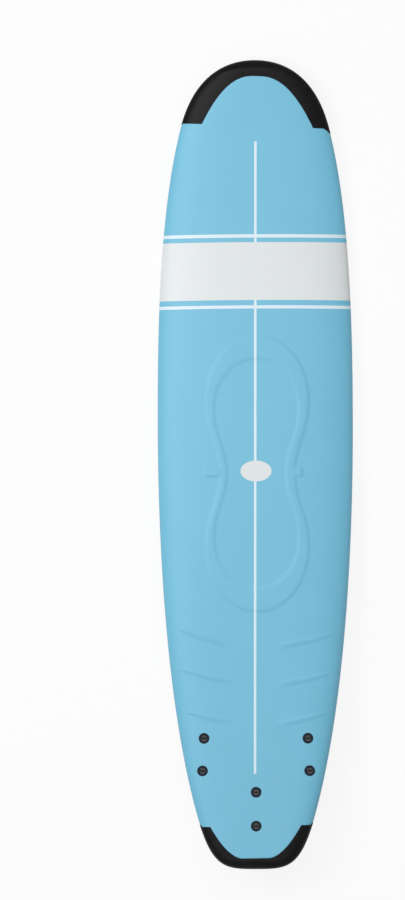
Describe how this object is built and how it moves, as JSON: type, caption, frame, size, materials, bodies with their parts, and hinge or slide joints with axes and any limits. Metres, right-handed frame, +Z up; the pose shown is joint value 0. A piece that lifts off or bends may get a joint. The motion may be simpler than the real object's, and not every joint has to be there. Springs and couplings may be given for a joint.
{
  "type": "soft-top surfboard",
  "caption": "Soft-top surfboard: foam deck over a foam blank, slick bottom sheet, rubber nose and tail bumpers, and bolt-on fins held by coin-slot screws through the deck.",
  "frame": {"origin": "centre of the bounding box's base, on the floor that the side fins and the belly stand on", "axes": "+Y towards the nose, +Z up through the deck, +X towards the board's right rail"},
  "size_m": [0.59, 2.4386, 0.2016],
  "materials": {
    "blank_foam": "white expanded foam beads, unseen",
    "stringer_wood": "raw plywood, unseen",
    "deck_foam": "soft closed-cell foam sheet, fine matt texture",
    "slick_sheet": "slick polyethylene sheet, satin",
    "bumper_rubber": "moulded soft rubber, satin black",
    "plug_plastic": "moulded dark plastic",
    "screw_metal": "dark grey coated metal, satin",
    "fin_plastic": "moulded black plastic, satin",
    "insert_brass": "turned brass"
  },
  "bodies": {
    "board": {"core_left": "blank_foam", "core_centre": "blank_foam", "core_right": "blank_foam", "stringer_left": "stringer_wood", "stringer_right": "stringer_wood", "deck_skin": "deck_foam", "bottom_sheet": "slick_sheet", "nose_bumper": "bumper_rubber", "tail_bumper": "bumper_rubber", "deck_plug_left_front": "plug_plastic", "deck_plug_left_rear": "plug_plastic", "deck_plug_right_front": "plug_plastic", "deck_plug_right_rear": "plug_plastic", "deck_plug_centre_front": "plug_plastic", "deck_plug_centre_rear": "plug_plastic", "bottom_socket_left_front": "plug_plastic", "bottom_socket_left_rear": "plug_plastic", "bottom_socket_right_front": "plug_plastic", "bottom_socket_right_rear": "plug_plastic", "bottom_socket_centre_front": "plug_plastic", "bottom_socket_centre_rear": "plug_plastic"},
    "fin_left": {"side_fin_left": "fin_plastic", "threaded_insert_left_front": "insert_brass", "threaded_insert_left_rear": "insert_brass"},
    "fin_right": {"side_fin_right": "fin_plastic", "threaded_insert_right_front": "insert_brass", "threaded_insert_right_rear": "insert_brass"},
    "fin_centre": {"centre_fin": "fin_plastic", "threaded_insert_centre_front": "insert_brass", "threaded_insert_centre_rear": "insert_brass"},
    "screw_left_front": {"fin_screw_left_front": "screw_metal"},
    "screw_left_rear": {"fin_screw_left_rear": "screw_metal"},
    "screw_right_front": {"fin_screw_right_front": "screw_metal"},
    "screw_right_rear": {"fin_screw_right_rear": "screw_metal"},
    "screw_centre_front": {"fin_screw_centre_front": "screw_metal"},
    "screw_centre_rear": {"fin_screw_centre_rear": "screw_metal"}
  },
  "joints": [
    {"name": "fin_left_release", "type": "slide", "parent": "board", "child": "fin_left", "axis": [0, -0.1377, -0.9905], "range_m": [0, 0.04]},
    {"name": "fin_right_release", "type": "slide", "parent": "board", "child": "fin_right", "axis": [0, -0.1377, -0.9905], "range_m": [0, 0.04]},
    {"name": "fin_centre_release", "type": "slide", "parent": "board", "child": "fin_centre", "axis": [0, -0.1596, -0.9872], "range_m": [0, 0.04]},
    {"name": "screw_left_front_out", "type": "slide", "parent": "board", "child": "screw_left_front", "axis": [0, 0.1377, 0.9905], "range_m": [0, 0.058]},
    {"name": "screw_left_rear_out", "type": "slide", "parent": "board", "child": "screw_left_rear", "axis": [0, 0.1377, 0.9905], "range_m": [0, 0.052]},
    {"name": "screw_right_front_out", "type": "slide", "parent": "board", "child": "screw_right_front", "axis": [0, 0.1377, 0.9905], "range_m": [0, 0.058]},
    {"name": "screw_right_rear_out", "type": "slide", "parent": "board", "child": "screw_right_rear", "axis": [0, 0.1377, 0.9905], "range_m": [0, 0.052]},
    {"name": "screw_centre_front_out", "type": "slide", "parent": "board", "child": "screw_centre_front", "axis": [0, 0.1596, 0.9872], "range_m": [0, 0.052]},
    {"name": "screw_centre_rear_out", "type": "slide", "parent": "board", "child": "screw_centre_rear", "axis": [0, 0.1596, 0.9872], "range_m": [0, 0.046]}
  ]
}
